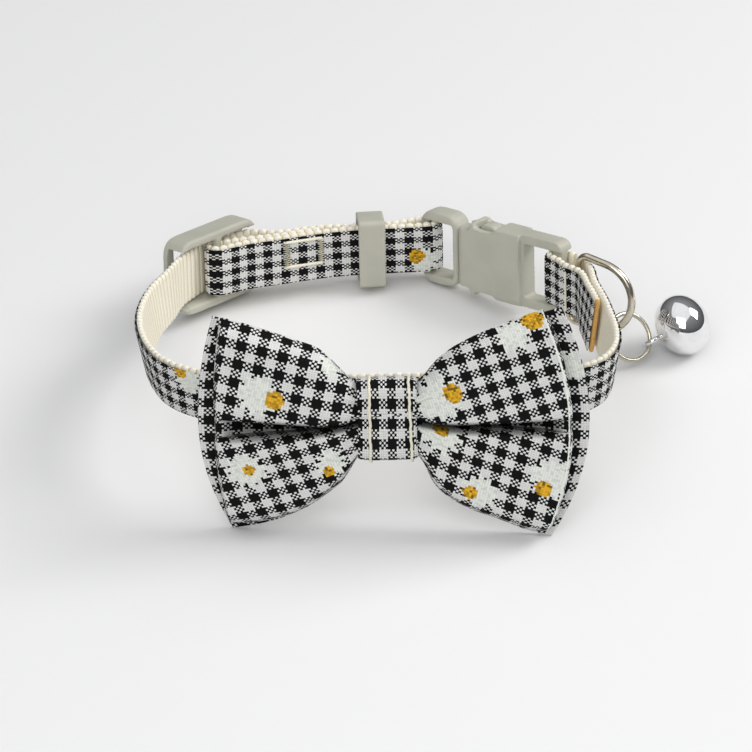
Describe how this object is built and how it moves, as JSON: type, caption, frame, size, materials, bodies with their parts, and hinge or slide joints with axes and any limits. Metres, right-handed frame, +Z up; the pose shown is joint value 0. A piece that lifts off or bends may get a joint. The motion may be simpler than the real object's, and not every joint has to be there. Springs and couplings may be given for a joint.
{
  "type": "cat collar",
  "caption": "Adjustable fabric cat collar with a gingham bow, a side-release buckle and a round bell on a D-ring.",
  "frame": {"origin": "middle of the lowest face of the collar's box, on the surface it lies on", "axes": "+X to the right, towards the bell; +Y from the bow to the buckle; +Z up, across the strap"},
  "size_m": [0.1104, 0.0984, 0.0448],
  "materials": {
    "webbing": "ribbed cream webbing, matt",
    "gingham": "woven cotton, black and white gingham with small daisies",
    "plastic": "moulded acetal, satin",
    "nickel": "bright nickel plate on wire",
    "chrome": "polished chrome plate"
  },
  "bodies": {
    "root": {"strap_webbing": "webbing", "strap_ribbon": "gingham", "keeper": "plastic", "slider": "plastic", "buckle_male": "plastic", "buckle_female": "plastic", "d_ring": "nickel", "jump_ring": "nickel", "bell": "chrome", "bell_pellet": "nickel", "bow_back": "gingham", "bow_front": "gingham", "bow_wrap": "gingham"}
  },
  "joints": []
}
